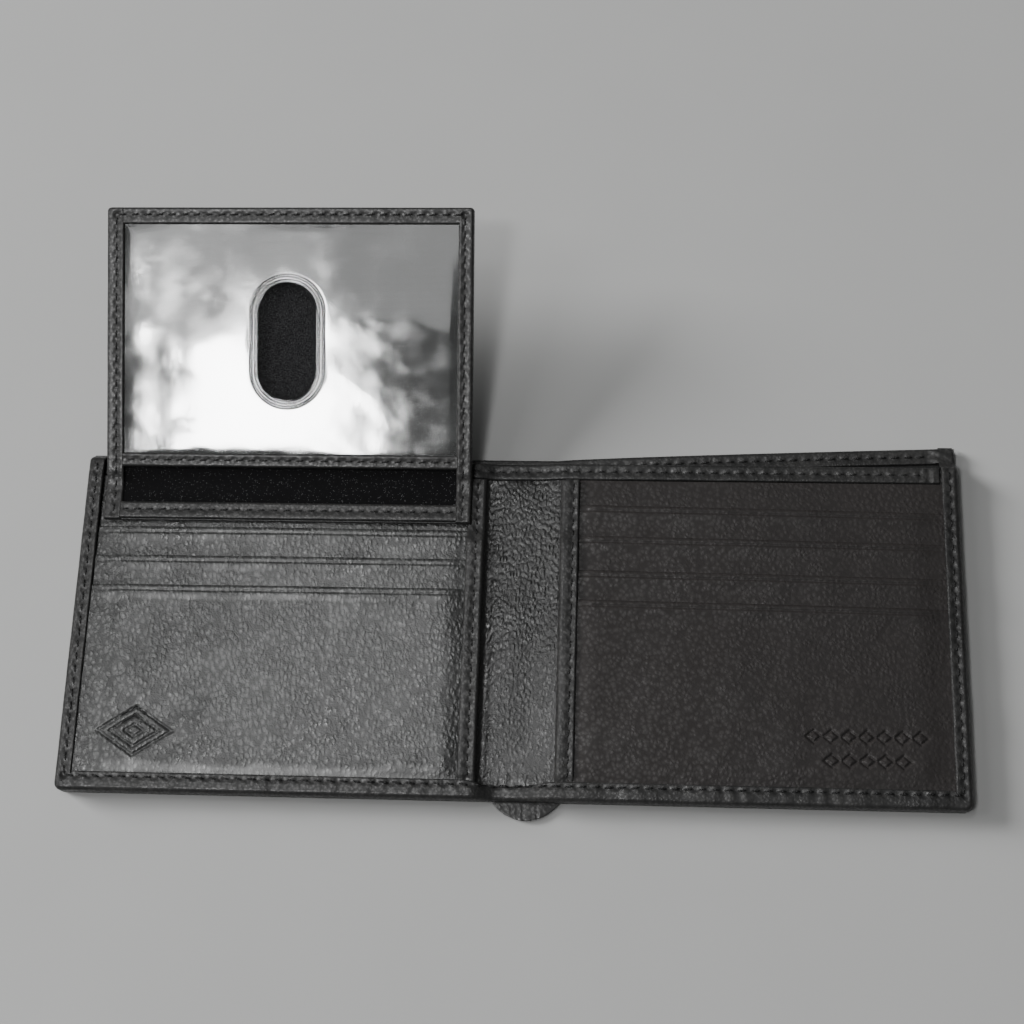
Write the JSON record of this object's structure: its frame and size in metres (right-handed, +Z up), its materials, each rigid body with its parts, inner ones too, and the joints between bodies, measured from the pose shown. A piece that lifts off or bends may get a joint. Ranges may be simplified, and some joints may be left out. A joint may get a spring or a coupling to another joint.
{
  "type": "bifold wallet",
  "caption": "Open leather bifold wallet with card slots on both sides, a bill compartment and a flip-up clear identity flap.",
  "frame": {"origin": "middle of the open wallet, on the spine cover's underside, in the plane the wallet lies on", "axes": "+X towards the right panel's outer edge, +Y towards the top edge and the bill compartment's mouth, +Z up out of the pockets"},
  "size_m": [0.23, 0.1552, 0.031],
  "materials": {
    "cover_leather": "satin",
    "spine_leather": "semi-gloss",
    "left_pocket_leather": "satin",
    "right_pocket_leather": "satin",
    "lining_fabric": "matte",
    "board": "matte",
    "foil": "satin",
    "clear_plastic": "gloss",
    "thread": "satin"
  },
  "bodies": {
    "spine": {"cover_leather_spine": "cover_leather", "cover_lining_spine": "lining_fabric", "cover_hem_spine": "cover_leather", "inner_wall_spine": "spine_leather", "inner_wall_lining_spine": "lining_fabric", "top_hem_spine": "cover_leather", "bottom_binding_spine": "cover_leather", "thread_spine": "thread"},
    "left_panel": {"cover_leather_left": "cover_leather", "cover_stiffener_left": "board", "cover_lining_left": "lining_fabric", "cover_hem_left": "cover_leather", "inner_wall_left": "left_pocket_leather", "inner_wall_lining_left": "lining_fabric", "side_binding_left": "cover_leather", "bottom_binding_left": "cover_leather", "top_hem_left": "cover_leather", "pocket_backing_left": "left_pocket_leather", "inner_edge_trim_left": "cover_leather", "shield_foil_left": "foil", "slot_lining_left_1": "lining_fabric", "slot_lining_left_2": "lining_fabric", "slot_strip_left_1": "left_pocket_leather", "slot_strip_left_2": "left_pocket_leather", "front_pocket_lining_left": "lining_fabric", "front_pocket_left": "left_pocket_leather", "flap_anchor_base": "cover_leather", "flap_anchor_lining": "lining_fabric", "flap_anchor_bar": "cover_leather", "flap_anchor_sides": "cover_leather", "thread_left": "thread"},
    "right_panel": {"cover_leather_right": "cover_leather", "cover_stiffener_right": "board", "cover_lining_right": "lining_fabric", "cover_hem_right": "cover_leather", "inner_wall_right": "right_pocket_leather", "inner_wall_lining_right": "lining_fabric", "side_binding_right": "cover_leather", "bottom_binding_right": "cover_leather", "top_hem_right": "cover_leather", "pocket_backing_right": "right_pocket_leather", "inner_edge_trim_right": "cover_leather", "shield_foil_right": "foil", "slot_lining_right_1": "lining_fabric", "slot_lining_right_2": "lining_fabric", "slot_lining_right_3": "lining_fabric", "slot_strip_right_1": "right_pocket_leather", "slot_strip_right_2": "right_pocket_leather", "slot_strip_right_3": "right_pocket_leather", "front_pocket_lining_right": "lining_fabric", "front_pocket_right": "right_pocket_leather", "thread_right": "thread"},
    "id_flap": {"flap_back_leather": "cover_leather", "flap_lining": "lining_fabric", "flap_window": "clear_plastic", "flap_frame": "cover_leather", "flap_mid_bar": "cover_leather", "thread_flap": "thread"}
  },
  "joints": [
    {"name": "left_fold", "type": "hinge", "parent": "spine", "child": "left_panel", "pos_m": [-0.009, 0, 0.00345], "axis": [0, 1, 0], "range_deg": [0, 90]},
    {"name": "right_fold", "type": "hinge", "parent": "spine", "child": "right_panel", "pos_m": [0.011, 0, 0.00345], "axis": [0, -1, 0], "range_deg": [0, 90]},
    {"name": "flap_fold", "type": "hinge", "parent": "left_panel", "child": "id_flap", "pos_m": [-0.0604, 0.036, 0.0069], "axis": [1, 0, 0], "range_deg": [-19.4, 160.6]}
  ]
}
